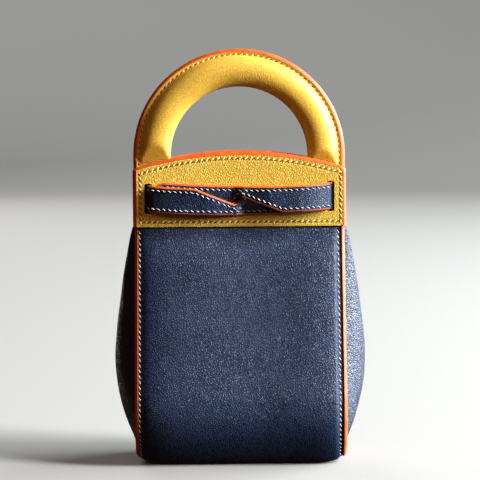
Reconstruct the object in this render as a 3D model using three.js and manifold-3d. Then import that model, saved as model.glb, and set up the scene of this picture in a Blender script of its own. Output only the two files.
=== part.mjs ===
// Mini handbag: a wedge-shaped leather body with a padded arch handle and two interlocking straps.
// Millimetres, +Z up. The front faces -Y, and the origin is on the ground under the middle of the base.
import * as THREE from 'three';
import { mergeVertices } from 'three/addons/utils/BufferGeometryUtils.js';
import Module from 'manifold-3d';

const wasm = await Module();
wasm.setup();

// Whole bag
const HALF_WIDTH = 60.5;
const CLEARANCE = 0.3;

// Wrap: front, base and back in one strip of leather
const WRAP_THICKNESS = 2.2;
const WRAP_TOP_Z = 139.5;
const LEAN_START_Z = 131;
const FRONT_TOP_OUT = 9.0;
const BACK_TOP_OUT = 3.2;
const BASE_HALF_DEPTH = 34;

// Near the ground each wall sweeps inwards in a wide curve, and then folds under the base in a tight one
const SWEEP_RADIUS = 45;
const SWEEP_STEPS = 6;
const FOLD_RADIUS = 11;
const FOLD_STEPS = 5;
const FOLD_START = THREE.MathUtils.degToRad(-35);
const SWEEP_OUT = BASE_HALF_DEPTH - SWEEP_RADIUS;
const SWEEP_Z = FOLD_RADIUS - (SWEEP_RADIUS - FOLD_RADIUS) * Math.sin(FOLD_START);
const FOLD_OUT = SWEEP_OUT + (SWEEP_RADIUS - FOLD_RADIUS) * Math.cos(FOLD_START);

// The base is flat in the middle and lifts towards its two side edges
const BASE_FLAT_HALF = 42;
const BASE_EDGE_LIFT = 3.4;
const LIFT_FULL_Z = 4.5;
const LIFT_END_Z = 28;

// Gussets: soft side walls that swell out between the edges of the wrap
const GUSSET_THICKNESS = 1.5;
const GUSSET_FLANGE = 4.75;
const SEAM_CLEARANCE = 0.6;
const GUSSET_COLUMNS = 10;
const GUSSET_INSET = WRAP_THICKNESS + SEAM_CLEARANCE + GUSSET_THICKNESS / 2;
const GUSSET_RIM_X = HALF_WIDTH - GUSSET_THICKNESS / 2;
const GUSSET_ROWS = [
  { z: 134.5, swell: 1.4 },
  { z: 128, swell: 3.1 },
  { z: 118, swell: 4.9 },
  { z: 106, swell: 6.9 },
  { z: 92, swell: 8.8 },
  { z: 76, swell: 10.6 },
  { z: 60, swell: 11.7 },
  { z: 46, swell: 11.0 },
  { z: 34, swell: 8.8 },
  { z: 24, swell: 6.1 },
  { z: 16, swell: 3.3 },
  { z: 10, swell: 1.1 },
  { z: 6, swell: 0.3 },
  { z: 4, swell: 0.1 },
  { z: GUSSET_INSET, swell: 0 },
];

// Yokes: stiff upper bands with a convex top edge, doubled above the top edge of the wrap
const YOKE_LAYER = 1.5;
const YOKE_BOTTOM_Z = 134.9;
const YOKE_CORNER_Z = 168.3;
const YOKE_CROWN_Z = 178;
const YOKE_RISE = YOKE_CROWN_Z - YOKE_CORNER_Z;
const YOKE_TOP_RADIUS = (HALF_WIDTH ** 2 + YOKE_RISE ** 2) / (2 * YOKE_RISE);
const FRONT_YOKE_BACK_Y = -(FRONT_TOP_OUT + CLEARANCE);
const FRONT_YOKE_FACE_Y = FRONT_YOKE_BACK_Y - YOKE_LAYER;
const BACK_YOKE_BACK_Y = BACK_TOP_OUT + CLEARANCE;
const BACK_YOKE_FACE_Y = BACK_YOKE_BACK_Y + YOKE_LAYER;
const DOUBLED_BOTTOM_Z = WRAP_TOP_Z + CLEARANCE;

// Slots in the front yoke, one for each strap
const SLOT_WIDTH = 4.5;
const SLOT_HEIGHT = 17.3;
const SLOT_CORNER = 1.3;
const SLOT_CENTRE_X = 51.95;

// Handle: a padded roll with a sewn flange round its outside, and flat tabs behind the back yoke
const ARCH_CENTRE_Z = 175.2;
const ARCH_STEPS = 26;
const ARCH_INNER_RADIUS = 39.25;
const FLANGE_WIDTH = 3.7;
const FLANGE_HALF = 1.6;
const ROLL_HALF = 6.5;
const TAB_HALF = 1.2;
const TAB_BOTTOM_Z = DOUBLED_BOTTOM_Z;
const HANDLE_Y = BACK_YOKE_BACK_Y - CLEARANCE - TAB_HALF;
const ROLL_OUTER_RADIUS = HALF_WIDTH - FLANGE_WIDTH;
const ROLL_CENTRE_RADIUS = (ROLL_OUTER_RADIUS + ARCH_INNER_RADIUS) / 2;
const ROLL_RADIAL_HALF = (ROLL_OUTER_RADIUS - ARCH_INNER_RADIUS) / 2;
const ROLL_SECTION_ANGLES = [24, 45, 68, 90, 112, 135, 157];
const FRONT_PADDING = { flatZ: 167, fullZ: 178 };
const BACK_PADDING = { flatZ: 174.4, fullZ: 187 };
const LEG_LEVELS = [TAB_BOTTOM_Z, 154, 167, 169.5, 172];

// Straps: sewn to the handle tabs, out through the slots, and hooked through each other's notches
const STRAP_THICKNESS = 1.8;
const STRAP_HALF_WIDTH = 7.65;
const STRAP_BEND_RADIUS = 4.6;
const STRAP_FOLD_RADIUS = 4.2;
const STRAP_ARC_SHARES = [0, 0.25, 0.5, 0.75, 1];
const STRAP_ANCHOR_X = 58;
const STRAP_SAG_REACH = 48.3;
const STRAP_TAIL_CUT = 4.4;
const STRAP_TAIL_HALF_WIDTH = 4.25;
const STRAP_ROWS = 3;
const STRAP_CROSSING = 3.4;
const STRAP_ANCHOR_Y = HANDLE_Y - TAB_HALF - CLEARANCE - STRAP_THICKNESS / 2;
const STRAP_REAR_Y = FRONT_YOKE_FACE_Y - 1.2;
const STRAP_FRONT_Y = STRAP_REAR_Y - 3.1;
// From sweepX a strap sweeps back towards its slot through sweepTurn, and then folds into the slot.
const STRAPS = [
  { name: 'strap_left', side: -1, slotZ: 151.1, tailZ: 151.4, sag: 2.2,
    sweepX: 37, sweepRadius: 60, sweepTurn: 11, tailReach: 40 },
  { name: 'strap_right', side: 1, slotZ: 151.9, tailZ: 153.1, sag: 2.0,
    sweepX: 39.9, sweepRadius: 18, sweepTurn: 35, tailReach: 48.3 },
];
// The notched edge and the plain edge of a strap. across counts from the bag's middle
// towards the strap's own slot, and an edge from the strap's centre line.
const STRAP_OUTLINE = [
  { across: 24.8, notched: STRAP_HALF_WIDTH, plain: -STRAP_HALF_WIDTH },
  { across: 2.6, notched: -1.1, plain: -STRAP_HALF_WIDTH },
  { across: 0.5, notched: -1.1, plain: -STRAP_HALF_WIDTH },
  { across: -1.1, notched: 0.2, plain: -STRAP_HALF_WIDTH },
  { across: -8.5, notched: STRAP_HALF_WIDTH, plain: -STRAP_HALF_WIDTH },
];
const STRAP_STATIONS = [32, 24.8, 18, 12, 8, 5, 3.4, 2.6, 1.9, 1.2, 0.5, -0.3, -1.1, -1.9, -2.6, -3.4,
  -5, -6.5, -8.5, -15, -25, -32];

const navyLeather = { color: 0x37425c, roughness: 0.55, metalness: 0 };
const yellowLeather = { color: 0xe3b23c, roughness: 0.5, metalness: 0 };

const radians = THREE.MathUtils.degToRad;
const mix = THREE.MathUtils.lerp;

// One closed body from a list of points and outward triangles, turned right side out if it came inside out
function solidFrom(points, triangles) {
  let volume = 0;
  for (const [a, b, c] of triangles) {
    volume += points[a].dot(new THREE.Vector3().crossVectors(points[b], points[c]));
  }
  const facing = volume > 0 ? triangles : triangles.map(([a, b, c]) => [a, c, b]);
  const geometry = new THREE.BufferGeometry();
  geometry.setAttribute('position', new THREE.Float32BufferAttribute(points.flatMap((p) => p.toArray()), 3));
  geometry.setIndex(facing.flat());
  geometry.computeVertexNormals();
  return geometry;
}

// A leather wall: the middle surface given as points and triangles, with the thickness on both sides of it
function leatherWall(points, triangles, thickness) {
  const normals = points.map(() => new THREE.Vector3());
  const openEdges = new Map();
  for (const [a, b, c] of triangles) {
    const edgeAB = points[b].clone().sub(points[a]);
    const edgeAC = points[c].clone().sub(points[a]);
    const normal = edgeAB.cross(edgeAC).normalize();
    for (const corner of [a, b, c]) normals[corner].add(normal);
    for (const [from, to] of [[a, b], [b, c], [c, a]]) {
      if (!openEdges.delete(`${to},${from}`)) openEdges.set(`${from},${to}`, [from, to]);
    }
  }
  const count = points.length;
  const outer = points.map((p, i) => p.clone().addScaledVector(normals[i].normalize(), thickness / 2));
  const inner = points.map((p, i) => p.clone().addScaledVector(normals[i], -thickness / 2));
  const faces = [...triangles];
  for (const [a, b, c] of triangles) faces.push([a + count, c + count, b + count]);
  for (const [from, to] of openEdges.values()) {
    faces.push([to, from, from + count]);
    faces.push([to, from + count, to + count]);
  }
  return solidFrom([...outer, ...inner], faces);
}

// Triangles of a grid of points that is stored row after row
function gridTriangles(rows, columns) {
  const triangles = [];
  for (let row = 0; row < rows - 1; row += 1) {
    for (let column = 0; column < columns - 1; column += 1) {
      const corner = row * columns + column;
      triangles.push([corner, corner + columns, corner + 1]);
      triangles.push([corner + 1, corner + columns, corner + columns + 1]);
    }
  }
  return triangles;
}

// How far a wall's surface lies from the middle plane at a height, at a depth below its outer face
function topOut(side) {
  return side < 0 ? FRONT_TOP_OUT : BACK_TOP_OUT;
}

function leanAngle(side) {
  const run = SWEEP_OUT - topOut(side);
  const rise = LEAN_START_Z - SWEEP_Z;
  return Math.atan2(run, rise) + Math.asin(SWEEP_RADIUS / Math.hypot(run, rise));
}

function wallOut(side, z, inset) {
  const lean = leanAngle(side);
  const radius = SWEEP_RADIUS - inset;
  const height = z - SWEEP_Z;
  if (height < radius * Math.sin(FOLD_START)) {
    return FOLD_OUT + Math.sqrt(Math.max(0, (FOLD_RADIUS - inset) ** 2 - (z - FOLD_RADIUS) ** 2));
  }
  if (height < radius * Math.sin(lean)) return SWEEP_OUT + Math.sqrt(radius ** 2 - height ** 2);
  const leaning = SWEEP_OUT + (radius - height * Math.sin(lean)) / Math.cos(lean);
  return Math.max(topOut(side) - inset, leaning);
}

// The base's lift near its side edges, which dies out up the walls
function lifted(x, y, z) {
  const pastFlat = (Math.abs(x) - BASE_FLAT_HALF) / (HALF_WIDTH - BASE_FLAT_HALF);
  const towardsEdge = THREE.MathUtils.clamp(pastFlat, 0, 1);
  const nearGround = THREE.MathUtils.clamp((LIFT_END_Z - z) / (LIFT_END_Z - LIFT_FULL_Z), 0, 1);
  return new THREE.Vector3(x, y, z + BASE_EDGE_LIFT * towardsEdge ** 2 * nearGround ** 2);
}

// Half of the wrap's profile in its middle surface, from the top edge down to the flat of the base
function wrapHalfProfile(side) {
  const inset = WRAP_THICKNESS / 2;
  const profile = [];
  for (const z of [WRAP_TOP_Z, LEAN_START_Z]) {
    profile.push({ y: side * wallOut(side, z, inset), z });
  }
  const lean = leanAngle(side);
  for (let step = 0; step < SWEEP_STEPS; step += 1) {
    const angle = mix(lean, FOLD_START, step / SWEEP_STEPS);
    const radius = SWEEP_RADIUS - inset;
    const sweepOut = SWEEP_OUT + radius * Math.cos(angle);
    profile.push({ y: side * sweepOut, z: SWEEP_Z + radius * Math.sin(angle) });
  }
  for (let step = 0; step <= FOLD_STEPS; step += 1) {
    const angle = mix(FOLD_START, -Math.PI / 2, step / FOLD_STEPS);
    const radius = FOLD_RADIUS - inset;
    const foldOut = FOLD_OUT + radius * Math.cos(angle);
    profile.push({ y: side * foldOut, z: FOLD_RADIUS + radius * Math.sin(angle) });
  }
  return profile;
}

function bodyWrap() {
  const profile = [...wrapHalfProfile(-1), ...wrapHalfProfile(1).reverse()];
  const liftSteps = [HALF_WIDTH, 56, 51, 46, BASE_FLAT_HALF];
  const columns = [...liftSteps.map((x) => -x), ...liftSteps.reverse()];
  const points = profile.flatMap(({ y, z }) => columns.map((x) => lifted(x, y, z)));
  return leatherWall(points, gridTriangles(profile.length, columns.length), WRAP_THICKNESS);
}

// A gusset: a swelling wall, folded at its rim into a flange that lies on the inside of the wrap
function gusset(side) {
  const columns = GUSSET_COLUMNS + 1;
  const points = [];
  for (const { z, swell } of GUSSET_ROWS) {
    const front = -wallOut(-1, z, GUSSET_INSET);
    const back = wallOut(1, z, GUSSET_INSET);
    for (let column = 0; column < columns; column += 1) {
      const share = column / GUSSET_COLUMNS;
      const x = GUSSET_RIM_X + swell * Math.sin(Math.PI * share);
      points.push(lifted(side * x, mix(front, back, share), z));
    }
  }
  const triangles = gridTriangles(GUSSET_ROWS.length, columns);
  const lastRow = (GUSSET_ROWS.length - 1) * columns;
  const rim = GUSSET_ROWS.map((row, index) => index * columns);
  for (let column = 1; column < columns; column += 1) rim.push(lastRow + column);
  for (let row = GUSSET_ROWS.length - 2; row >= 0; row -= 1) rim.push(row * columns + columns - 1);
  const rimZ = (index) => GUSSET_ROWS[Math.floor(index / columns)].z;
  const flangeStart = points.length;
  for (const index of rim) {
    points.push(lifted(side * (GUSSET_RIM_X - GUSSET_FLANGE), points[index].y, rimZ(index)));
  }
  for (let step = 0; step < rim.length - 1; step += 1) {
    const flange = flangeStart + step;
    triangles.push([rim[step], flange, rim[step + 1]]);
    triangles.push([rim[step + 1], flange, flange + 1]);
  }
  return leatherWall(points, triangles, GUSSET_THICKNESS);
}

// Joining and cutting of closed bodies
function toManifold(geometry) {
  const bare = geometry.clone();
  bare.deleteAttribute('normal');
  bare.deleteAttribute('uv');
  const merged = mergeVertices(bare);
  return new wasm.Manifold(new wasm.Mesh({
    numProp: 3,
    vertProperties: new Float32Array(merged.attributes.position.array),
    triVerts: new Uint32Array(merged.index.array),
  }));
}

function fromManifold(solid) {
  const mesh = solid.getMesh();
  const geometry = new THREE.BufferGeometry();
  geometry.setAttribute('position', new THREE.BufferAttribute(mesh.vertProperties, 3));
  geometry.setIndex(new THREE.BufferAttribute(mesh.triVerts, 1));
  geometry.computeVertexNormals();
  return geometry;
}

// An upright plate: an outline in X and Z, with its thickness between two places in Y
function plate(outline, frontY, backY) {
  const geometry = new THREE.ExtrudeGeometry(outline, {
    depth: backY - frontY,
    bevelEnabled: false,
    curveSegments: 12,
  });
  geometry.rotateX(Math.PI / 2);
  geometry.translate(0, backY, 0);
  return geometry;
}

function yokeOutline(halfWidth, bottomZ) {
  const reach = Math.asin(halfWidth / YOKE_TOP_RADIUS);
  const outline = new THREE.Shape();
  outline.moveTo(-halfWidth, bottomZ);
  outline.lineTo(halfWidth, bottomZ);
  const up = Math.PI / 2;
  outline.absarc(0, YOKE_CROWN_Z - YOKE_TOP_RADIUS, YOKE_TOP_RADIUS, up - reach, up + reach);
  outline.closePath();
  return outline;
}

function slotOutline(centreX, centreZ) {
  const right = centreX + SLOT_WIDTH / 2 - SLOT_CORNER;
  const left = centreX - SLOT_WIDTH / 2 + SLOT_CORNER;
  const top = centreZ + SLOT_HEIGHT / 2 - SLOT_CORNER;
  const bottom = centreZ - SLOT_HEIGHT / 2 + SLOT_CORNER;
  const outline = new THREE.Shape();
  outline.absarc(right, top, SLOT_CORNER, 0, Math.PI / 2);
  outline.absarc(left, top, SLOT_CORNER, Math.PI / 2, Math.PI);
  outline.absarc(left, bottom, SLOT_CORNER, Math.PI, 1.5 * Math.PI);
  outline.absarc(right, bottom, SLOT_CORNER, 1.5 * Math.PI, 2 * Math.PI);
  return outline;
}

function frontYoke() {
  const cover = plate(yokeOutline(HALF_WIDTH, YOKE_BOTTOM_Z), FRONT_YOKE_FACE_Y, FRONT_YOKE_BACK_Y);
  const doubled = plate(
    yokeOutline(HALF_WIDTH, DOUBLED_BOTTOM_Z),
    FRONT_YOKE_FACE_Y,
    FRONT_YOKE_BACK_Y + YOKE_LAYER,
  );
  let solid = toManifold(cover).add(toManifold(doubled));
  for (const { side, slotZ } of STRAPS) {
    const slot = plate(slotOutline(side * SLOT_CENTRE_X, slotZ), 2 * FRONT_YOKE_FACE_Y, 0);
    solid = solid.subtract(toManifold(slot));
  }
  return fromManifold(solid);
}

function backYoke() {
  const cover = plate(yokeOutline(HALF_WIDTH, YOKE_BOTTOM_Z), BACK_YOKE_BACK_Y, BACK_YOKE_FACE_Y);
  const doubled = plate(
    yokeOutline(ARCH_INNER_RADIUS - CLEARANCE, DOUBLED_BOTTOM_Z),
    BACK_YOKE_BACK_Y - YOKE_LAYER,
    BACK_YOKE_FACE_Y,
  );
  return fromManifold(toManifold(cover).add(toManifold(doubled)));
}

// The handle's section as half thicknesses, from the edge of the flange to the inner side of the roll
function handleProfile() {
  const profile = [
    { radius: HALF_WIDTH, half: FLANGE_HALF },
    { radius: ROLL_OUTER_RADIUS, half: FLANGE_HALF },
  ];
  for (const degrees of ROLL_SECTION_ANGLES) {
    profile.push({
      radius: ROLL_CENTRE_RADIUS + ROLL_RADIAL_HALF * Math.cos(radians(degrees)),
      half: ROLL_HALF * Math.sin(radians(degrees)),
    });
  }
  return profile;
}

// The padding's fullness at a height: 0 in the flat tabs, 1 in the arch
function paddingAt(z, { flatZ, fullZ }) {
  return THREE.MathUtils.smoothstep(z, flatZ, fullZ);
}

function handleSection(place) {
  const level = place(ROLL_CENTRE_RADIUS).z;
  const profile = handleProfile();
  const ring = profile.map(({ radius, half }) => {
    const { x, z } = place(radius);
    return new THREE.Vector3(x, HANDLE_Y - mix(TAB_HALF, half, paddingAt(level, FRONT_PADDING)), z);
  });
  const tip = place(ARCH_INNER_RADIUS);
  ring.push(new THREE.Vector3(tip.x, HANDLE_Y, tip.z));
  for (const { radius, half } of profile.reverse()) {
    const { x, z } = place(radius);
    ring.push(new THREE.Vector3(x, HANDLE_Y + mix(TAB_HALF, half, paddingAt(level, BACK_PADDING)), z));
  }
  return ring;
}

function handle() {
  const stations = LEG_LEVELS.map((z) => (radius) => ({ x: -radius, z }));
  for (let step = 0; step <= ARCH_STEPS; step += 1) {
    const angle = Math.PI * (1 - step / ARCH_STEPS);
    stations.push((radius) => ({ x: radius * Math.cos(angle), z: ARCH_CENTRE_Z + radius * Math.sin(angle) }));
  }
  stations.push(...LEG_LEVELS.map((z) => (radius) => ({ x: radius, z })).reverse());
  const rings = stations.map(handleSection);
  const sides = rings[0].length;
  const triangles = [];
  for (let ring = 0; ring < rings.length - 1; ring += 1) {
    for (let corner = 0; corner < sides; corner += 1) {
      const here = ring * sides + corner;
      const next = ring * sides + ((corner + 1) % sides);
      triangles.push([here, next, here + sides]);
      triangles.push([next, next + sides, here + sides]);
    }
  }
  const last = (rings.length - 1) * sides;
  for (let corner = 1; corner < sides - 1; corner += 1) {
    triangles.push([0, corner + 1, corner]);
    triangles.push([last, last + corner, last + corner + 1]);
  }
  return solidFrom(rings.flat(), triangles);
}

// The outline table of a strap with its pointed tail
function strapOutline(tailReach) {
  return [
    ...STRAP_OUTLINE,
    { across: STRAP_TAIL_CUT - tailReach, notched: STRAP_HALF_WIDTH, plain: -STRAP_HALF_WIDTH },
    { across: -tailReach, notched: STRAP_TAIL_HALF_WIDTH, plain: -STRAP_TAIL_HALF_WIDTH },
  ];
}

// A value from an outline table at a place along the strap
function outlineAt(outline, across, column) {
  const end = outline.findIndex((row) => row.across <= across);
  if (end === 0) return outline[0][column];
  const before = outline[end - 1];
  const after = outline[end];
  return mix(before[column], after[column], (before.across - across) / (before.across - after.across));
}

// The strap's route seen from above: in from the handle's tab, out of the slot, and along the front
function strapRoute({ sweepX, sweepRadius, sweepTurn, tailReach }) {
  const turn = radians(sweepTurn);
  const foldX = sweepX + sweepRadius * Math.sin(turn);
  const foldY = STRAP_FRONT_Y + sweepRadius * (1 - Math.cos(turn));
  const slotX = foldX + STRAP_FOLD_RADIUS * (1 - Math.sin(turn));
  const route = [{ across: STRAP_ANCHOR_X, y: STRAP_ANCHOR_Y }];
  for (const share of STRAP_ARC_SHARES) {
    const angle = radians(90) * share;
    route.push({
      across: slotX + STRAP_BEND_RADIUS * (1 - Math.sin(angle)),
      y: STRAP_ANCHOR_Y - STRAP_BEND_RADIUS * (1 - Math.cos(angle)),
    });
  }
  for (const share of STRAP_ARC_SHARES) {
    const angle = mix(radians(90), turn, share);
    route.push({
      across: foldX + STRAP_FOLD_RADIUS * (Math.sin(angle) - Math.sin(turn)),
      y: foldY + STRAP_FOLD_RADIUS * (Math.cos(turn) - Math.cos(angle)),
    });
  }
  for (const share of STRAP_ARC_SHARES.slice(1)) {
    const angle = turn * (1 - share);
    route.push({
      across: sweepX + sweepRadius * Math.sin(angle),
      y: STRAP_FRONT_Y + sweepRadius * (1 - Math.cos(angle)),
    });
  }
  for (const across of [...STRAP_STATIONS, STRAP_TAIL_CUT - tailReach, -tailReach]) {
    const toFront = THREE.MathUtils.smoothstep(across, -STRAP_CROSSING, STRAP_CROSSING);
    route.push({ across, y: mix(STRAP_REAR_Y, STRAP_FRONT_Y, toFront) });
  }
  return { route, slotX };
}

function strap(row) {
  const { side, slotZ, tailZ, sag, tailReach } = row;
  const { route, slotX } = strapRoute(row);
  const outline = strapOutline(tailReach);
  const points = [];
  for (const { across, y } of route) {
    const share = Math.max(0, (slotX - across) / (slotX + STRAP_SAG_REACH));
    const centreZ = mix(slotZ, tailZ, share) - 4 * sag * share * (1 - share);
    const notched = outlineAt(outline, across, 'notched');
    const plain = outlineAt(outline, across, 'plain');
    for (let edgeRow = 0; edgeRow <= STRAP_ROWS; edgeRow += 1) {
      const edge = mix(plain, notched, edgeRow / STRAP_ROWS);
      points.push(new THREE.Vector3(side * across, y, centreZ - side * edge));
    }
  }
  return leatherWall(points, gridTriangles(route.length, STRAP_ROWS + 1), STRAP_THICKNESS);
}

const bag = new THREE.Group();

function addPiece(name, geometry, leather) {
  const piece = new THREE.Mesh(geometry, new THREE.MeshStandardMaterial(leather));
  piece.name = name;
  bag.add(piece);
}

addPiece('body_wrap', bodyWrap(), navyLeather);
addPiece('gusset_left', gusset(-1), navyLeather);
addPiece('gusset_right', gusset(1), navyLeather);
addPiece('front_yoke', frontYoke(), yellowLeather);
addPiece('back_yoke', backYoke(), yellowLeather);
addPiece('handle', handle(), yellowLeather);
for (const row of STRAPS) addPiece(row.name, strap(row), navyLeather);

export default bag;
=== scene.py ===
import math

import bmesh
import bpy
import numpy as np
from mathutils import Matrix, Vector, noise


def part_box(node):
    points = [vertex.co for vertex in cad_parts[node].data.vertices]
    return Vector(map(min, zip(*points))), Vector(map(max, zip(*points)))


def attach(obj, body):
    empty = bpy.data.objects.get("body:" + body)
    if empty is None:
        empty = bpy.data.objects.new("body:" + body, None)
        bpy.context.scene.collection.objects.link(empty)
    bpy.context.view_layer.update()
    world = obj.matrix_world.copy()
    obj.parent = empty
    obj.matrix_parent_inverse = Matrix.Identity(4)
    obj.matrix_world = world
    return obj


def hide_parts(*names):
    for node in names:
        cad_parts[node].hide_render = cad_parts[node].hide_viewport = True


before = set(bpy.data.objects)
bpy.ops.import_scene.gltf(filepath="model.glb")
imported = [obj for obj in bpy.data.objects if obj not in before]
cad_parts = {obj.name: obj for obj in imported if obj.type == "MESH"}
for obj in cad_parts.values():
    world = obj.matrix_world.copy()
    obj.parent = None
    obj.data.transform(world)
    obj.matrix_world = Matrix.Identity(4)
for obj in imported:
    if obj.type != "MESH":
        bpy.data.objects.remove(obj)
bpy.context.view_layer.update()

# Studio: a pale seamless bowl of paper, which throws no light back, and a camera in front of the bag.
# The main lamps stand on its right, a tall one before it and a wide one behind it, and two weak ones
# lift the shadows.
MM = 0.001
BAG_CENTRE = Vector((0.2 * MM, 0, 126.2 * MM))
CAMERA_DISTANCE = 1200 * MM
CAMERA_ELEVATION = math.radians(5)
CAMERA_ROLL = math.radians(-0.48)
CAMERA_LENS = 156.1
LAMPS = (  # name, place, width, height, watts, colour
    ("main_lamp", (1.88, -0.64, 1.14), 0.48, 1.5, 170.0, (1.0, 0.97, 0.93)),
    ("side_lamp", (1.85, 0.55, 0.74), 2.4, 1.2, 185.0, (0.92, 0.98, 0.96)),
    ("back_lamp", (-0.75, 2.1, 1.0), 1.0, 1.0, 24.0, (1.0, 0.95, 0.9)),
    ("front_lamp", (0.1, -1.6, 1.0), 0.9, 0.7, 4.5, (1.0, 0.55, 0.3)),
)
ROOM_LIGHT = (0.042, 0.02, 0.013, 1)
BOWL_RADIUS = 2.4
BOWL_BEND = 0.9
BOWL_WALL = 1.6
BOWL_STEPS = 12
BOWL_SIDES = 128
BOWL_SMOOTH = math.radians(30)
FLOOR_Z = -0.2 * MM
PAPER = (0.27, 0.275, 0.28, 1)
PAPER_ROUGHNESS = 0.9


def aimed(place):
    """The rotation that turns a camera or lamp at a place towards the middle of the bag."""
    return (BAG_CENTRE - Vector(place)).to_track_quat("-Z", "Y").to_euler()


class Wire:
    """An output socket in a material's node tree. Sums with it add Math nodes to that tree."""

    def __init__(self, tree, socket=None):
        self.tree = tree
        self.socket = socket

    def add(self, kind, settings, sockets, output=0):
        """Adds a node with its settings, then the values or wires of its sockets, and gives one output."""
        node = self.tree.nodes.new(kind)
        for name, value in settings.items():
            setattr(node, name, value)
        for name, value in sockets.items():
            if isinstance(value, Wire):
                self.tree.links.new(value.socket, node.inputs[name])
            else:
                node.inputs[name].default_value = value
        return Wire(self.tree, node.outputs[output])

    def math(self, operation, first, second):
        return self.add("ShaderNodeMath", {"operation": operation}, {0: first, 1: second})

    def __add__(self, other):
        return self.math("ADD", self, other)

    def __radd__(self, other):
        return self.math("ADD", other, self)

    def __sub__(self, other):
        return self.math("SUBTRACT", self, other)

    def __rsub__(self, other):
        return self.math("SUBTRACT", other, self)

    def __mul__(self, other):
        return self.math("MULTIPLY", self, other)

    def __rmul__(self, other):
        return self.math("MULTIPLY", other, self)

    def step(self, low, high):
        """0 below low, 1 above high, and a soft rise between them."""
        sockets = {"Value": self, "From Min": low, "From Max": high}
        return self.add("ShaderNodeMapRange", {"interpolation_type": "SMOOTHSTEP"}, sockets)

    def mix(self, first, second):
        """The first colour where this wire is 0, the second where it is 1."""
        return self.add("ShaderNodeMix", {"data_type": "RGBA"}, {0: self, 6: first, 7: second}, 2)

    def noise(self, size, detail=2.0, output="Fac"):
        """Soft noise with lumps about that size, where this wire is the place."""
        sockets = {"Vector": self, "Scale": 1 / size, "Detail": detail}
        return self.add("ShaderNodeTexNoise", {}, sockets, output)

    def also(self, output):
        """Another output of the node that this wire comes from."""
        return Wire(self.tree, self.socket.node.outputs[output])

    def into(self, node, name):
        """Leads this wire into a socket of a node that is there already."""
        self.tree.links.new(self.socket, node.inputs[name])


def new_material(name):
    """A material, its shader, and a wire of the place on the piece."""
    material = bpy.data.materials.new(name)
    material.use_nodes = True
    tree = material.node_tree
    return material, tree.nodes["Principled BSDF"], Wire(tree).add("ShaderNodeTexCoord", {}, {}, "Object")


def deselect_all():
    """Leaves nothing selected, so that the next operator acts only on the piece in hand."""
    bpy.ops.object.select_all(action="DESELECT")


deselect_all()
camera_back = Vector((0, -math.cos(CAMERA_ELEVATION), math.sin(CAMERA_ELEVATION)))
camera_place = BAG_CENTRE + CAMERA_DISTANCE * camera_back
bpy.ops.object.camera_add(location=camera_place, rotation=aimed(camera_place))
camera = bpy.context.object
camera.rotation_euler.rotate_axis("Z", CAMERA_ROLL)
camera.data.lens = CAMERA_LENS
bpy.context.scene.camera = camera
bpy.context.scene.view_settings.view_transform = "Standard"

for lamp_name, lamp_place, lamp_width, lamp_height, watts, lamp_colour in LAMPS:
    bpy.ops.object.light_add(type="AREA", location=lamp_place, rotation=aimed(lamp_place))
    lamp = bpy.context.object
    lamp.name = lamp_name
    lamp.data.shape = "RECTANGLE"
    lamp.data.size = lamp_width
    lamp.data.size_y = lamp_height
    lamp.data.energy = watts
    lamp.data.color = lamp_colour

room = bpy.data.worlds.new("room")
room.use_nodes = True
room.node_tree.nodes["Background"].inputs["Color"].default_value = ROOM_LIGHT
bpy.context.scene.world = room

deselect_all()
bpy.ops.mesh.primitive_circle_add(
    vertices=BOWL_SIDES, radius=BOWL_RADIUS + BOWL_BEND, location=(0, 0, FLOOR_Z + BOWL_BEND + BOWL_WALL)
)
bowl = bpy.context.object
bowl.name = "bowl"
bpy.ops.object.mode_set(mode="EDIT")
bpy.ops.mesh.select_all(action="SELECT")
bpy.ops.mesh.extrude_region_move(TRANSFORM_OT_translate={"value": (0, 0, -BOWL_WALL)})
for step in range(BOWL_STEPS):
    before = math.radians(90) * step / BOWL_STEPS
    after = math.radians(90) * (step + 1) / BOWL_STEPS
    drop = BOWL_BEND * (math.sin(after) - math.sin(before))
    shrink = (BOWL_RADIUS + BOWL_BEND * math.cos(after)) / (BOWL_RADIUS + BOWL_BEND * math.cos(before))
    bpy.ops.mesh.extrude_region_move(TRANSFORM_OT_translate={"value": (0, 0, -drop)})
    bpy.ops.transform.resize(value=(shrink, shrink, 1))
bpy.ops.mesh.edge_face_add()
bpy.ops.mesh.select_all(action="SELECT")
bpy.ops.mesh.normals_make_consistent(inside=True)
bpy.ops.object.mode_set(mode="OBJECT")
bpy.ops.object.transform_apply(location=True, rotation=True, scale=True)
bpy.ops.object.shade_smooth_by_angle(angle=BOWL_SMOOTH)
floor_paper, floor_shader = new_material("floor_paper")[:2]
floor_shader.inputs["Base Color"].default_value = PAPER
floor_shader.inputs["Roughness"].default_value = PAPER_ROUGHNESS
bowl.data.materials.append(floor_paper)
bowl.visible_diffuse = False
bowl.visible_glossy = False

# Body wrap: front, base and back in one strip of pebbled navy goatskin, folded round at the bottom. Padding
# behind the leather lifts its middle, and a row of stitches draws it down along each side.
wrap_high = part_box("body_wrap")[1]
HALF_WIDTH = wrap_high.x
WRAP_TOP_Z = wrap_high.z
WRAP_THICKNESS = 2.2 * MM
FRONT_TOP_OUT = 9.0 * MM
BACK_TOP_OUT = 3.2 * MM
LEAN_START_Z = 131 * MM
LEAN_BEND = 45 * MM
SWEEP_RADIUS = 45 * MM
FOLD_RADIUS = 11 * MM
FOLD_START = math.radians(35)
SWEEP_OUT = wrap_high.y - SWEEP_RADIUS
SWEEP_Z = FOLD_RADIUS + (SWEEP_RADIUS - FOLD_RADIUS) * math.sin(FOLD_START)
FOLD_OUT = SWEEP_OUT + (SWEEP_RADIUS - FOLD_RADIUS) * math.cos(FOLD_START)
WRAP_STEP = 1.8 * MM
WRAP_EDGE = 60.1 * MM
WRAP_PAINT = 1.8 * MM
SEAM_X = {-1: 57.2 * MM, 1: 56.2 * MM}
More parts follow.
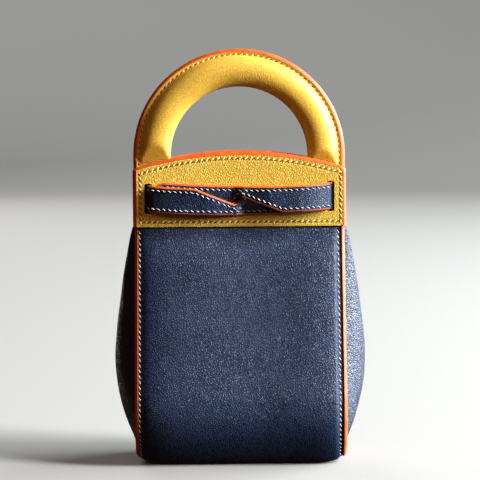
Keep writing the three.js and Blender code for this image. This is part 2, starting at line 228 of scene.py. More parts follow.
SEAM_DEPTH = 0.66 * MM
PANEL = (  # how far in from the seam, how far the face stands out there on the left and on the right
    (52, 2.3, 2.0), (43, 2.75, 1.95), (34, 3.05, 2.1), (26, 2.98, 2.35), (20, 2.85, 2.6),
    (16, 2.73, 2.72), (12.5, 2.45, 2.72), (9.5, 2.12, 2.62), (7, 1.7, 2.45), (5, 1.32, 2.22),
    (3.6, 0.86, 2.0), (2.9, 0.55, 1.85), (2.3, 0.25, 1.7), (1.75, -0.03, 1.28), (1.2, -0.3, 0.85),
    (0.8, -0.5, 0.3), (0.5, -0.65, -0.3), (0, -0.7, -0.7), (-0.4, -0.74, -0.74), (-0.7, -0.78, -0.78),
)
EDGE_DIP = -0.85
PANEL_TOP = (112, 133.5, 0.4)  # the heights where the padding starts and ends to thin, and its share there
PANEL_BASE = (30, 2, 0.5)  # the same, downwards
BASE_FLAT_HALF = 42 * MM
BASE_EDGE_LIFT = 3.4 * MM
LIFT_FULL_Z = 4.5 * MM
LIFT_END_Z = 28 * MM
NAVY = (0.0195, 0.039, 0.1, 1)
NAVY_CREASE = (0.003, 0.008, 0.027, 1)
DRIFT_SIZE = 4  # in pebbles, like the next three
DRIFT_PUSH = 1.6
PORE_SIZE = 0.3
LUMP_SIZE = 1.7
CREASE_WIDTH = 0.32
DYE_PATCH = 22 * MM
SMOOTH_BELOW = math.radians(40)


def leather(name, face, crease, pebble, relief, gloss, shine, lie):
    """Grained leather: pebbles parted by fine creases, with fine pores on them and uneven dye.
    The lie turns a place on the piece into one on the flat hide, where the pebbles are round."""
    material, shader, place = new_material(name)
    hide = lie(place)
    drift = hide.noise(DRIFT_SIZE * pebble, 1.0, "Color")
    push = {0: drift, "Scale": DRIFT_PUSH * pebble}
    pushed = hide.add("ShaderNodeVectorMath", {"operation": "SCALE"}, push)
    hide = hide.add("ShaderNodeVectorMath", {"operation": "ADD"}, {0: hide, 1: pushed})
    cells = {"Vector": hide, "Scale": 1 / pebble}
    edge = hide.add("ShaderNodeTexVoronoi", {"feature": "DISTANCE_TO_EDGE"}, cells, "Distance")
    dome = edge.step(0.0, CREASE_WIDTH)
    pores = hide.noise(PORE_SIZE * pebble, 2.0)
    dye = place.noise(DYE_PATCH, 3.0)
    open_face = (dome * 0.75 + dye * 0.5).step(0.15, 0.75)
    open_face.mix(crease, face).into(shader, "Base Color")
    (gloss + 0.16 * (1 - dome) + 0.12 * (dye - 0.5)).into(shader, "Roughness")
    shader.inputs["Specular IOR Level"].default_value = shine
    height = dome * (0.55 + 0.9 * hide.noise(LUMP_SIZE * pebble, 1.0)) + 0.25 * pores
    bump = {"Strength": 1.0, "Distance": relief, "Height": height}
    place.add("ShaderNodeBump", {}, bump, "Normal").into(shader, "Normal")
    return material


def drawn(pull):
    """The lie of a hide that is drawn out along each axis where the pull is under 1."""
    return lambda place: place.add("ShaderNodeVectorMath", {"operation": "MULTIPLY"}, {0: place, 1: pull})


navy_leather = leather(
    "navy_leather", NAVY, NAVY_CREASE,
    pebble=1.2 * MM, relief=0.15 * MM, gloss=0.34, shine=0.30, lie=drawn((1, 1, 1)),
)


def lean_sizes(top_out):
    """How far a wall leans, and its lengths above and below the soft bend where the lean starts."""
    across = SWEEP_OUT - top_out
    up = LEAN_START_Z - SWEEP_Z
    lean = math.atan2(across, up) + math.asin(SWEEP_RADIUS / math.hypot(across, up))
    bend_share = LEAN_BEND * math.tan(lean / 2)
    slope = math.sqrt(across**2 + up**2 - SWEEP_RADIUS**2)
    return lean, WRAP_TOP_Z - LEAN_START_Z - bend_share, slope - bend_share


front_lean, front_upright, front_slope = lean_sizes(FRONT_TOP_OUT)
back_lean, back_upright, back_slope = lean_sizes(BACK_TOP_OUT)
front_sweep = front_lean + FOLD_START
back_sweep = back_lean + FOLD_START
fold = math.radians(90) - FOLD_START
STRETCHES = (  # length, turn
    (front_upright, 0),
    (LEAN_BEND * front_lean, front_lean),
    (front_slope, 0),
    (SWEEP_RADIUS * front_sweep, -front_sweep),
    (FOLD_RADIUS * fold, -fold),
    (2 * FOLD_OUT, 0),
    (FOLD_RADIUS * fold, -fold),
    (SWEEP_RADIUS * back_sweep, -back_sweep),
    (back_slope, 0),
    (LEAN_BEND * back_lean, back_lean),
    (back_upright, 0),
)
WRAP_LENGTH = sum(length for length, turn in STRETCHES)


def follow(stretches, distance):
    """How far ahead and aside a path is after a distance, and its heading. A turn above 0 leads aside."""
    ahead, aside, heading = 0.0, 0.0, 0.0
    for length, turn in stretches:
        run = min(distance, length)
        if turn:
            radius = length / turn
            new_heading = heading + turn * run / length
            ahead += radius * (math.sin(new_heading) - math.sin(heading))
            aside += radius * (math.cos(heading) - math.cos(new_heading))
            heading = new_heading
        else:
            ahead += math.cos(heading) * run
            aside += math.sin(heading) * run
        distance -= run
        if distance <= 0:
            break
    return ahead, aside, heading


def wrap_at(distance):
    """y, z and heading of the strip's outer face, that far from the front's top edge. Heading 0 is down."""
    down, forward, heading = follow(STRETCHES, distance)
    return -FRONT_TOP_OUT - forward, WRAP_TOP_Z - down, heading


def side_of(x):
    """-1 on the bag's left, 1 on its right."""
    return -1 if x < 0 else 1


def soft_step(value, low, high):
    """0 below low, 1 above high, and a soft rise between them."""
    share = min(1.0, max(0.0, (value - low) / (high - low)))
    return share * share * (3 - 2 * share)


def base_lift(x, z):
    """How far the base rises towards its side edges."""
    out = min(1.0, max(0.0, (abs(x) - BASE_FLAT_HALF) / (HALF_WIDTH - BASE_FLAT_HALF)))
    fade = min(1.0, max(0.0, (LIFT_END_Z - z) / (LIFT_END_Z - LIFT_FULL_Z)))
    return BASE_EDGE_LIFT * out**2 * fade**2


def on_wrap(x, distance, out):
    """The point at x, that far down the strip and that far out from its face."""
    y, z, heading = wrap_at(distance)
    y -= out * math.cos(heading)
    z += out * math.sin(heading)
    return Vector((x, y, z + base_lift(x, z)))


def wrap_columns(side):
    """Places across one half of the strip, and how far its face stands out at each."""
    columns = [(SEAM_X[side] / MM - inward, left if side < 0 else right) for inward, left, right in PANEL]
    return [*columns, ((WRAP_EDGE - WRAP_PAINT) / MM, EDGE_DIP)]


def stand_out(x, z):
    """How far the strip's face stands out at a place. The padding thins towards the yoke and the base."""
    top_start, top_end, top_share = PANEL_TOP
    base_start, base_end, base_share = PANEL_BASE
    if z > top_end * MM:
        return 0.0
    places, heights = zip(*wrap_columns(side_of(x)))
    out = np.interp(abs(x) / MM, places, heights)
    if out > 0:
        out *= 1 - (1 - top_share) * soft_step(z / MM, top_start, top_end)
        out *= base_share + (1 - base_share) * soft_step(z / MM, base_end, base_start)
    return out * MM


def pick_edges(piece, test):
    """Selects in edit mode the edges that pass a test of the places of their two ends."""
    bpy.ops.mesh.select_all(action="DESELECT")
    work = bmesh.from_edit_mesh(piece.data)
    for edge in work.edges:
        if test(edge.verts[0].co, edge.verts[1].co):
            edge.select_set(True)
    bmesh.update_edit_mesh(piece.data)


def thicken(piece, thickness):
    """Gives a sheet its thickness, behind its face."""
    bpy.ops.object.modifier_add(type="SOLIDIFY")
    wall = piece.modifiers[-1]
    wall.thickness = thickness
    wall.offset = -1
    wall.use_even_offset = True
    bpy.ops.object.modifier_apply(modifier=wall.name)


def fit(piece, material, slot, *nodes):
    """Gives a finished piece its material, and its place on the bag."""
    bpy.ops.object.shade_smooth_by_angle(angle=SMOOTH_BELOW)
    piece.data.materials.clear()
    piece.data.materials.append(material)
    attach(piece, "root")
    if nodes:
        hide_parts(*nodes)
    deselect_all()


deselect_all()
bpy.ops.mesh.primitive_plane_add(size=1)
wrap = bpy.context.object
wrap.name = "wrap_leather"
wrap.scale = (2 * (WRAP_EDGE - WRAP_PAINT), front_upright, 1)
wrap.rotation_euler = (math.radians(90), 0, 0)
wrap.location = (0, -FRONT_TOP_OUT, WRAP_TOP_Z - front_upright / 2)
bpy.ops.object.transform_apply(location=True, rotation=True, scale=True)
bpy.ops.object.mode_set(mode="EDIT")
for side in (-1, 1):
    for column, out in wrap_columns(side)[:-1]:
        bpy.ops.mesh.select_all(action="SELECT")
        bpy.ops.mesh.bisect(plane_co=(side * column * MM, 0, 0), plane_no=(1, 0, 0))
pick_edges(wrap, lambda one, other: max(one.z, other.z) < WRAP_TOP_Z - front_upright / 2)
wrap_rows = round((WRAP_LENGTH - front_upright) / WRAP_STEP)
wrap_stops = np.linspace(front_upright, WRAP_LENGTH, wrap_rows + 1)
for here, there in zip(wrap_stops[:-1], wrap_stops[1:]):
    y_here, z_here = wrap_at(here)[:2]
    y_there, z_there = wrap_at(there)[:2]
    move = (0, y_there - y_here, z_there - z_here)
    bpy.ops.mesh.extrude_region_move(TRANSFORM_OT_translate={"value": move})
bpy.ops.mesh.select_all(action="SELECT")
bpy.ops.mesh.normals_make_consistent(inside=False)
bpy.ops.object.mode_set(mode="OBJECT")
faces_out = [vertex.normal.copy() for vertex in wrap.data.vertices]
for vertex, face_out in zip(wrap.data.vertices, faces_out):
    vertex.co += face_out * stand_out(vertex.co.x, vertex.co.z)
    vertex.co.z = max(0.0, vertex.co.z)
thicken(wrap, WRAP_THICKNESS)
for vertex in wrap.data.vertices:
    vertex.co.z += base_lift(vertex.co.x, vertex.co.z)
fit(wrap, navy_leather, "navy_leather", "body_wrap")

# Edge paint of the wrap: the raw edges of wrap and gusset are glued, sanded and sealed with several coats of
# thick orange paint, which dries as a satin dome. The other pieces' edges get the same paint, and where the
# straps hook into each other it is painted nearly black: painted shade between the two straps.
PAINT = (0.66, 0.108, 0.006, 1)
PAINT_THIN = (0.54, 0.07, 0.004, 1)
# Painted shade: the nearly black paint round the place where the straps hook into each other, and how far it
# reaches.
PAINT_HOOK_SHADE = (0.03, 0.01, 0.007, 1)
HOOK_PLACE = (0, -14.5 * MM, 149.9 * MM)
HOOK_SHADE_REACH = (1.9 * MM, 4.2 * MM)
PAINT_PATCH = 5 * MM
PAINT_GLOSS = 0.46
PAINT_RIPPLE = 1.4 * MM
PAINT_RELIEF = 0.12 * MM
WRAP_PAINT_HALF = 2.1 * MM
WRAP_PAINT_PROUD = {-1: -0.5 * MM, 1: -0.15 * MM}
PAINT_STEP = 1.5 * MM
DOMED_PAINT = (  # in from the edge, in widths; down from the face, in half thicknesses
    (0, 1), (0.08, 0.66), (0.28, 0.3), (0.58, 0.08), (0.86, 0), (1.04, 0.35),
)
FLUSH_PAINT = ((0, 1), (0.12, 0.72), (0.35, 0.42), (0.68, 0.15), (1, 0), (1.3, 0.25))
PAINT_ROOT = 1.4

edge_paint, paint_shader, paint_place = new_material("edge_paint")
paint_cover = paint_place.noise(PAINT_PATCH, 3.0)
paint_coat = paint_cover.step(0.3, 0.7).mix(PAINT_THIN, PAINT)
# Painted shade: the paint turns nearly black round the place where the two straps hook into each other.
from_hook = paint_place.add(
    "ShaderNodeVectorMath", {"operation": "DISTANCE"}, {0: paint_place, 1: HOOK_PLACE}, "Value"
)
from_hook.step(*HOOK_SHADE_REACH).mix(PAINT_HOOK_SHADE, paint_coat).into(paint_shader, "Base Color")
(PAINT_GLOSS + 0.14 * paint_cover).into(paint_shader, "Roughness")
paint_bump = {"Strength": 0.6, "Distance": PAINT_RELIEF, "Height": paint_place.noise(PAINT_RIPPLE, 2.0)}
paint_place.add("ShaderNodeBump", {}, paint_bump, "Normal").into(paint_shader, "Normal")


def spaced(points, pitch, shift=0.0):
    """Evenly spaced points along a route, with the direction of the route at each."""
    points = np.array(points, float)
    lengths = np.concatenate([[0], np.cumsum(np.linalg.norm(np.diff(points, axis=0), axis=1))])
    count = max(1, round(lengths[-1] / pitch))
    stops = (np.arange(count + 1) + shift) * lengths[-1] / count
    stops = stops[stops <= lengths[-1] + 1e-9]

    def at(distance):
        distance = np.clip(distance, 0, lengths[-1])
        return np.stack([np.interp(distance, lengths, points[:, axis]) for axis in range(2)], axis=1)

    reach = 0.2 * lengths[-1] / count
    ways = at(stops + reach) - at(stops - reach)
    return at(stops), ways / np.linalg.norm(ways, axis=1)[:, None]


def evenly(across):
    """The swell of paint that is as wide all along."""
    return 1.0


def paint_bead(name, outline, place, size, front=FLUSH_PAINT, step=PAINT_STEP, swell=evenly):
    """A rod bent along an outline, which lies on its left, and pressed to the paint's section."""
    width, half, proud = size
    back = [(inward, 2 - deep) for inward, deep in front[:0:-1]]
    section = [*front, (PAINT_ROOT, 1), *back]
    stops, ways = spaced(outline, step)
    deselect_all()
    bpy.ops.mesh.primitive_cylinder_add(vertices=len(section), radius=1, depth=1)
    bead = bpy.context.object
    bead.name = name
    bpy.ops.object.mode_set(mode="EDIT")
    pick_edges(bead, lambda one, other: abs(one.z - other.z) > 0.5)
    bpy.ops.mesh.subdivide(number_cuts=len(stops) - 2)
    bpy.ops.object.mode_set(mode="OBJECT")
    for vertex in bead.data.vertices:
        stop = round((vertex.co.z + 0.5) * (len(stops) - 1))
        turn = math.atan2(vertex.co.y, vertex.co.x) / math.tau
        inward, deep = section[round(turn * len(section)) % len(section)]
        left = Vector((-ways[stop][1], ways[stop][0]))
        spot = Vector(stops[stop]) - left * float(inward * width * swell(stops[stop][0]))
        vertex.co = place(spot.x, spot.y, proud - half * deep)
    face_outwards()
    fit(bead, edge_paint, "edge_paint")


def face_outwards():
    """Turns the faces of the closed piece in hand outwards."""
    bpy.ops.object.mode_set(mode="EDIT")
    bpy.ops.mesh.select_all(action="SELECT")
    bpy.ops.mesh.normals_make_consistent(inside=False)
    bpy.ops.object.mode_set(mode="OBJECT")


wrap_edge_top = front_upright
wrap_edge_end = WRAP_LENGTH - back_upright
wrap_left_edge = ((-WRAP_EDGE, wrap_edge_top), (-WRAP_EDGE, wrap_edge_end))
wrap_right_edge = ((WRAP_EDGE, wrap_edge_end), (WRAP_EDGE, wrap_edge_top))
wrap_left_size = (WRAP_PAINT, WRAP_PAINT_HALF, WRAP_PAINT_PROUD[-1])
wrap_right_size = (WRAP_PAINT, WRAP_PAINT_HALF, WRAP_PAINT_PROUD[1])
paint_bead("wrap_paint_left", wrap_left_edge, on_wrap, wrap_left_size)
paint_bead("wrap_paint_right", wrap_right_edge, on_wrap, wrap_right_size, DOMED_PAINT)

# Stitches of the wrap: waxed white thread, saddle-stitched by hand through wrap and gusset along both side
# edges. Each stitch lies slanted, because the holes are pricked at an angle.
STITCH_PITCH = 3.17 * MM
WRAP_STITCH = (2.4 * MM, 0.54 * MM, 0.9 * MM)  # length, width, height
SEAM_END_IN = 2 * MM
STITCH_SLANT = math.radians(27)
WHITE = (0.70, 0.71, 0.73, 1)
WHITE_SHADE = (0.50, 0.51, 0.54, 1)
TWIST_SIZE = 0.35 * MM
TWIST_RELIEF = 0.08 * MM
WAX_ROUGHNESS = 0.55


def thread(name, light, dark):
    """Waxed twisted thread."""
    material, shader, place = new_material(name)
    twist = place.noise(TWIST_SIZE, 2.0)
    twist.step(0.3, 0.65).mix(dark, light).into(shader, "Base Color")
    shader.inputs["Roughness"].default_value = WAX_ROUGHNESS
    bump = {"Strength": 0.8, "Distance": TWIST_RELIEF, "Height": twist}
    place.add("ShaderNodeBump", {}, bump, "Normal").into(shader, "Normal")
    return material


white_thread = thread("white_thread", WHITE, WHITE_SHADE)

deselect_all()
bpy.ops.mesh.primitive_uv_sphere_add(segments=8, ring_count=6, radius=0.5)
model_stitch = bpy.context.object
STITCH_POINTS = np.array([vertex.co for vertex in model_stitch.data.vertices])
STITCH_FACES = [tuple(face.vertices) for face in model_stitch.data.polygons]
bpy.data.objects.remove(model_stitch)


def sew(name, seams, size, slant, material, slot):
    """One piece of many copies of the model stitch. A seam is its spots, their directions and its place."""
    length, width, height = size
    points = []
    faces = []
    for spots, ways, place in seams:
        for spot, way in zip(spots, ways):
            angle = math.atan2(way[1], way[0]) + slant
            along = np.array((math.cos(angle), math.sin(angle)))
            aside = np.array((-along[1], along[0]))
            first = len(points)
            for point in STITCH_POINTS:
                flat = spot + along * length * point[2] + aside * width * point[0]
                points.append(place(flat[0], flat[1], height * point[1]))
            faces.extend(tuple(first + corner for corner in face) for face in STITCH_FACES)
    mesh = bpy.data.meshes.new(name)
    mesh.from_pydata(points, [], faces)
    piece = bpy.data.objects.new(name, mesh)
    bpy.context.collection.objects.link(piece)
    deselect_all()
    piece.select_set(True)
    bpy.context.view_layer.objects.active = piece
    face_outwards()
    fit(piece, material, slot)


def sunk(place, depth):
    """A place that deep under the face."""
    return lambda across, up, out: place(across, up, out - depth)


seam_start = front_upright + SEAM_END_IN
seam_end = WRAP_LENGTH - back_upright - SEAM_END_IN
wrap_seams = []
for side in (-1, 1):
    seam_x = side * SEAM_X[side]
    spots, ways = spaced(((seam_x, seam_start), (seam_x, seam_end)), STITCH_PITCH)
    wrap_seams.append((spots, ways, sunk(on_wrap, SEAM_DEPTH)))
sew("wrap_stitches", wrap_seams, WRAP_STITCH, -STITCH_SLANT, white_thread, "white_thread")

# Gussets: soft side walls of the same goatskin. Their edges are turned in and sewn inside the wrap, and the
# leather between swells outwards, most in its lower half.
GUSSET_THICKNESS = 1.5 * MM
GUSSET_RIM_X = 59.2 * MM
GUSSET_INSET = 3.3 * MM
GUSSET_TOP_Z = 134.5 * MM
GUSSET_LOW_Z = 4.2 * MM
SWELL = (  # height, how far the middle stands out
    (0, -0.6), (4.2, 0.0), (10, 1.6), (16, 3.8), (24, 6.6), (34, 9.3), (46, 11.5), (60, 12.2),
    (76, 11.1), (92, 9.3), (106, 7.4), (118, 5.4), (128, 3.6), (134.5, 1.9), (140, 0.4),
)
SWELL_SHARE = {-1: 1.09, 1: 1.05}
GUSSET_COLUMNS = 28
GUSSET_ROWS = 64
BELLY_ROUND = 0.85
RIPPLE_HEIGHT = 0.35 * MM
RIPPLE_LENGTH = 21 * MM
RIPPLES_ACROSS = 2.2
RIPPLES_APART = 9
SIDES = ((-1, "left"), (1, "right"))


def smooth_through(rows, at):
    """A smooth curve through the rows of a table, read at one place."""
    places = [row[0] for row in rows]
    values = [row[1] for row in rows]
    last = len(rows) - 1
    spot = min(max(int(np.searchsorted(places, at)) - 1, 0), last - 1)
    gap = places[spot + 1] - places[spot]
    share = (at - places[spot]) / gap

    def slope(index):
        low, high = max(index - 1, 0), min(index + 1, last)
        return (values[high] - values[low]) / (places[high] - places[low])

    start = (1 + 2 * share) * (1 - share) ** 2 * values[spot]
    end = share**2 * (3 - 2 * share) * values[spot + 1]
    start_slope = share * (1 - share) ** 2 * gap * slope(spot)
    end_slope = share**2 * (share - 1) * gap * slope(spot + 1)
    return start + end + start_slope + end_slope


def wall_out(side, z, deep):
    """How far the wrap's wall is from the middle at a height, that deep under its outer face."""
    top_out = FRONT_TOP_OUT if side < 0 else BACK_TOP_OUT
    lean = front_lean if side < 0 else back_lean
    radius = SWEEP_RADIUS - deep
    up = z - SWEEP_Z
    if up < -radius * math.sin(FOLD_START):
        return FOLD_OUT + math.sqrt(max(0.0, (FOLD_RADIUS - deep) ** 2 - (z - FOLD_RADIUS) ** 2))
    if up < radius * math.sin(lean):
        return SWEEP_OUT + math.sqrt(radius**2 - up**2)
    return max(top_out - deep, SWEEP_OUT + (radius - up * math.sin(lean)) / math.cos(lean))


def on_gusset(side, share_up, share_back):
    """The point of a gusset's outer face, from the base up and from the front edge to the back edge."""
    z = GUSSET_LOW_Z + share_up * (GUSSET_TOP_Z - GUSSET_LOW_Z)
    front = -wall_out(-1, z, GUSSET_INSET)
    back = wall_out(1, z, GUSSET_INSET)
    belly = math.sin(math.pi * share_back) ** BELLY_ROUND
    ripple_place = Vector((side * RIPPLES_APART, z / RIPPLE_LENGTH, share_back * RIPPLES_ACROSS))
    ripple = RIPPLE_HEIGHT * noise.noise(ripple_place)
    x = GUSSET_RIM_X + (SWELL_SHARE[side] * smooth_through(SWELL, z / MM) * MM + ripple) * belly
    return Vector((side * x, front + share_back * (back - front), z + base_lift(x, z)))


def turn_round():
    """Turns round the faces of the sheet in hand."""
    bpy.ops.object.mode_set(mode="EDIT")
    bpy.ops.mesh.select_all(action="SELECT")
    bpy.ops.mesh.flip_normals()
    bpy.ops.object.mode_set(mode="OBJECT")


gusset_leather = leather(
    "gusset_leather", NAVY, NAVY_CREASE,
    pebble=0.9 * MM, relief=0.30 * MM, gloss=0.35, shine=0.5, lie=drawn((0.45, 0.32, 1)),
)
for side, name in SIDES:
    deselect_all()
    bpy.ops.mesh.primitive_grid_add(x_subdivisions=GUSSET_COLUMNS, y_subdivisions=GUSSET_ROWS, size=1)
    gusset = bpy.context.object
    gusset.name = "gusset_leather_" + name
    for vertex in gusset.data.vertices:
        vertex.co = on_gusset(side, vertex.co.y + 0.5, vertex.co.x + 0.5)
    if side < 0:
        turn_round()
    thicken(gusset, GUSSET_THICKNESS)
    fit(gusset, gusset_leather, "navy_leather", "gusset_" + name)

# Yokes: stiff bands of fine-grained yellow calf, doubled and painted round their edges. Both stand above
# the wrap with an arched top, and the front one has a slot near each end for a strap.
YOKE_LOW_Z = 134.9 * MM
YOKE_CORNER_Z = 168.3 * MM
YOKE_CROWN_Z = 178 * MM
YOKE_PAINT = 1.35 * MM
YOKE_SIDE_PAINT = {-1: 2.2 * MM, 1: 1.35 * MM}
YOKE_TURN = (1.2 * MM, 0.2 * MM)
YOKE_CROWN_PAINT = 2.2 * MM
YOKE_PAINT_PROUD = 0.1 * MM
YOKE_PAINT_HALF = 1.55 * MM
YOKE_LAYER = 1.5 * MM
YOKE_DOUBLE_Z = 139.8 * MM
FRONT_YOKE_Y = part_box("front_yoke")[0].y
BACK_YOKE_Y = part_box("back_yoke")[1].y
YOKE_REACH = {side: HALF_WIDTH - YOKE_SIDE_PAINT[side] for side in (-1, 1)}
BACK_DOUBLE_REACH = {-1: 38.9 * MM, 1: 38.9 * MM}
YOKE_SEAM_IN = 4.2 * MM
YOKE_SIDE_SEAM_IN = {-1: 4.3 * MM, 1: 3.1 * MM}
YOKE_SEAM_Z = 137.5 * MM
YOKE_SEAM_DEPTH = 0.25 * MM
SLOT_X = 51.95 * MM
SLOT_WIDTH = 4.5 * MM
SLOT_HEIGHT = 17.3 * MM
SLOT_CORNER = 1.3 * MM
PUNCH_REACH = 10 * MM
SLOT_HEIGHTS = {-1: 151.1 * MM, 1: 151.9 * MM}
SLOT_ROUND_STEPS = 5
YOKE_COLUMNS = 140
YOKE_ROWS = 48
YOKE_TOP_POINTS = 41
YOKE_CORNER = 2.5 * MM
YOKE_ROUNDING = 0.22 * MM
DENT_REACH = 1.1 * MM
ROUND_STOPS = 5
LONGEST_CUT = 0.48
SHARP_ABOVE = math.radians(50)
YELLOW = (0.69, 0.545, 0.085, 1)
YELLOW_CREASE = (0.61, 0.32, 0.022, 1)
crown_rise = YOKE_CROWN_Z - YOKE_CORNER_Z
CROWN_RADIUS = (HALF_WIDTH**2 + crown_rise**2) / (2 * crown_rise)
yellow_leather = leather(
    "yellow_leather", YELLOW, YELLOW_CREASE,
    pebble=0.8 * MM, relief=0.10 * MM, gloss=0.38, shine=0.5, lie=drawn((1, 1, 0.42)),
)


def inset(points, distance):
    """An open outline moved to its right by a distance, with mitred corners."""
    points = np.array(points, float)
    steps = np.diff(points, axis=0)
    steps /= np.linalg.norm(steps, axis=1)[:, None]
    sides = np.stack([steps[:, 1], -steps[:, 0]], axis=1)
    before = np.vstack([sides[:1], sides])
    after = np.vstack([sides, sides[-1:]])
    miter = (before + after) / (1 + np.sum(before * after, axis=1))[:, None]
    return points + distance * miter


def rounded(points, radius):
    """An open outline with its corners rounded off."""
    points = np.array(points, float)
    made = [points[0]]
    for previous, corner, following in zip(points[:-2], points[1:-1], points[2:]):
        arm_in = previous - corner
        arm_out = following - corner
        length_in = np.linalg.norm(arm_in)
        length_out = np.linalg.norm(arm_out)
        cosine = np.clip(arm_in @ arm_out / (length_in * length_out), -1, 1)
        turn = math.pi - math.acos(cosine)
        cut = min(radius * math.tan(turn / 2), LONGEST_CUT * length_in, LONGEST_CUT * length_out)
        start = corner + arm_in / length_in * cut
        end = corner + arm_out / length_out * cut
        for share in np.linspace(0, 1, ROUND_STOPS):
            made.append((1 - share) ** 2 * start + 2 * share * (1 - share) * corner + share**2 * end)
    made.append(points[-1])
    return np.array(made)


def yoke_top(x):
    """Height of the yoke's arched top edge."""
    return YOKE_CROWN_Z - CROWN_RADIUS + math.sqrt(CROWN_RADIUS**2 - x**2)


def yoke_paint_swell(x):
    """How many times wider the paint is than at the arched top's ends, along the top and down the sides."""
    crown = (YOKE_CROWN_PAINT / YOKE_PAINT - 1) * max(0.0, 1 - (x / HALF_WIDTH) ** 2)
    turned = soft_step(abs(x), HALF_WIDTH - YOKE_TURN[0], HALF_WIDTH - YOKE_TURN[1])
    return 1 + crown + (YOKE_SIDE_PAINT[side_of(x)] / YOKE_PAINT - 1) * turned


YOKE_OUTLINE = [(-HALF_WIDTH, YOKE_LOW_Z)]
YOKE_OUTLINE += [(x, yoke_top(x)) for x in np.linspace(-HALF_WIDTH, HALF_WIDTH, YOKE_TOP_POINTS)]
YOKE_OUTLINE += [(HALF_WIDTH, YOKE_LOW_Z)]
YOKE_SEAM = inset(YOKE_OUTLINE, YOKE_SEAM_IN)
for point in YOKE_SEAM:
    side_in = YOKE_SIDE_SEAM_IN[side_of(point[0])]
    point[0] *= (HALF_WIDTH - side_in) / (HALF_WIDTH - YOKE_SEAM_IN)
YOKE_SEAM[0][1] = YOKE_SEAM_Z
YOKE_SEAM[-1][1] = YOKE_SEAM_Z


def on_front_yoke(x, z, out):
    return Vector((x, FRONT_YOKE_Y - out, z))


def on_back_yoke(x, z, out):
    return Vector((x, BACK_YOKE_Y + out, z))


def yoke_dent(x, z):
    """How deep the stitches draw the leather in at a point of a yoke."""
    from_top = yoke_top(x) - YOKE_SEAM_IN - z
    from_side = abs(x) - (HALF_WIDTH - YOKE_SIDE_SEAM_IN[side_of(x)])
    from_seam = min(abs(from_side), abs(from_top), abs(z - YOKE_SEAM_Z))
    return YOKE_SEAM_DEPTH * max(0.0, 1 - from_seam / DENT_REACH)


def yoke_layer(place, reach, low, back, dented):
    """One layer of a yoke, that far behind its face. Its reach is how far out its two ends are."""
    deselect_all()
    bpy.ops.mesh.primitive_grid_add(x_subdivisions=YOKE_COLUMNS, y_subdivisions=YOKE_ROWS, size=1)
    layer = bpy.context.object
    for vertex in layer.data.vertices:
        x = 2 * vertex.co.x * reach[side_of(vertex.co.x)]
        high = yoke_top(x) - YOKE_PAINT * yoke_paint_swell(x)
        z = low + (vertex.co.y + 0.5) * (high - low)
        vertex.co = place(x, z, -back - (yoke_dent(x, z) if dented else 0))
    if place is on_back_yoke:
        turn_round()
    thicken(layer, YOKE_LAYER)
    return layer


def block(middle, size):
    """A plain block."""
    deselect_all()
    bpy.ops.mesh.primitive_cube_add(size=1, location=middle)
    made = bpy.context.object
    made.scale = size
    bpy.ops.object.transform_apply(location=True, rotation=True, scale=True)
    return made


def slot_block(side, front_y, back_y, inward):
    """A block that fills a slot between two depths, that far inside its walls, with rounded corners."""
    middle = (side * SLOT_X, (front_y + back_y) / 2, SLOT_HEIGHTS[side])
    made = block(middle, (SLOT_WIDTH - 2 * inward, back_y - front_y, SLOT_HEIGHT - 2 * inward))
    bpy.ops.object.mode_set(mode="EDIT")
    pick_edges(made, lambda one, other: abs(one.y - other.y) > 1 * MM)
    bpy.ops.mesh.bevel(offset=SLOT_CORNER, segments=SLOT_ROUND_STEPS, affect="EDGES")
    bpy.ops.object.mode_set(mode="OBJECT")
    return made


def cut_out(piece, punch):
    """Cuts the shape of a punch out of a piece."""
    deselect_all()
    piece.select_set(True)
    bpy.context.view_layer.objects.active = piece
    bpy.ops.object.modifier_add(type="BOOLEAN")
    cut = piece.modifiers[-1]
    cut.operation = "DIFFERENCE"
    cut.solver = "EXACT"
    cut.object = punch
    bpy.ops.object.modifier_apply(modifier=cut.name)
    bpy.data.objects.remove(punch)


def round_edges(piece, width):
    """Takes the sharpness off a cut edge."""
    bpy.ops.object.modifier_add(type="BEVEL")
    rounding = piece.modifiers[-1]
    rounding.width = width
    rounding.segments = 2
    rounding.limit_method = "ANGLE"
    rounding.angle_limit = SHARP_ABOVE
    bpy.ops.object.modifier_apply(modifier=rounding.name)


def make_yoke(name, place, double_reach, slots, node):
    """A yoke: its cover, and a second layer behind the part that stands above the wrap."""
    cover = yoke_layer(place, YOKE_REACH, YOKE_LOW_Z, 0.0, True)
    double = yoke_layer(place, double_reach, YOKE_DOUBLE_Z, YOKE_LAYER, False)
    for side in slots:
        for layer in (cover, double):
            cut_out(layer, slot_block(side, FRONT_YOKE_Y - PUNCH_REACH, FRONT_YOKE_Y + PUNCH_REACH, 0.0))
    deselect_all()
    double.select_set(True)
    cover.select_set(True)
    bpy.context.view_layer.objects.active = cover
    bpy.ops.object.join()
    cover.name = name
    round_edges(cover, YOKE_ROUNDING)
    fit(cover, yellow_leather, "yellow_leather", node)
    painted = rounded(YOKE_OUTLINE, YOKE_CORNER)
    paint_name = name.replace("leather", "paint")
    paint_size = (YOKE_PAINT, YOKE_PAINT_HALF, YOKE_PAINT_PROUD)
    paint_bead(paint_name, painted, place, paint_size, swell=yoke_paint_swell)


make_yoke("front_yoke_leather", on_front_yoke, YOKE_REACH, (-1, 1), "front_yoke")
make_yoke("back_yoke_leather", on_back_yoke, BACK_DOUBLE_REACH, (), "back_yoke")
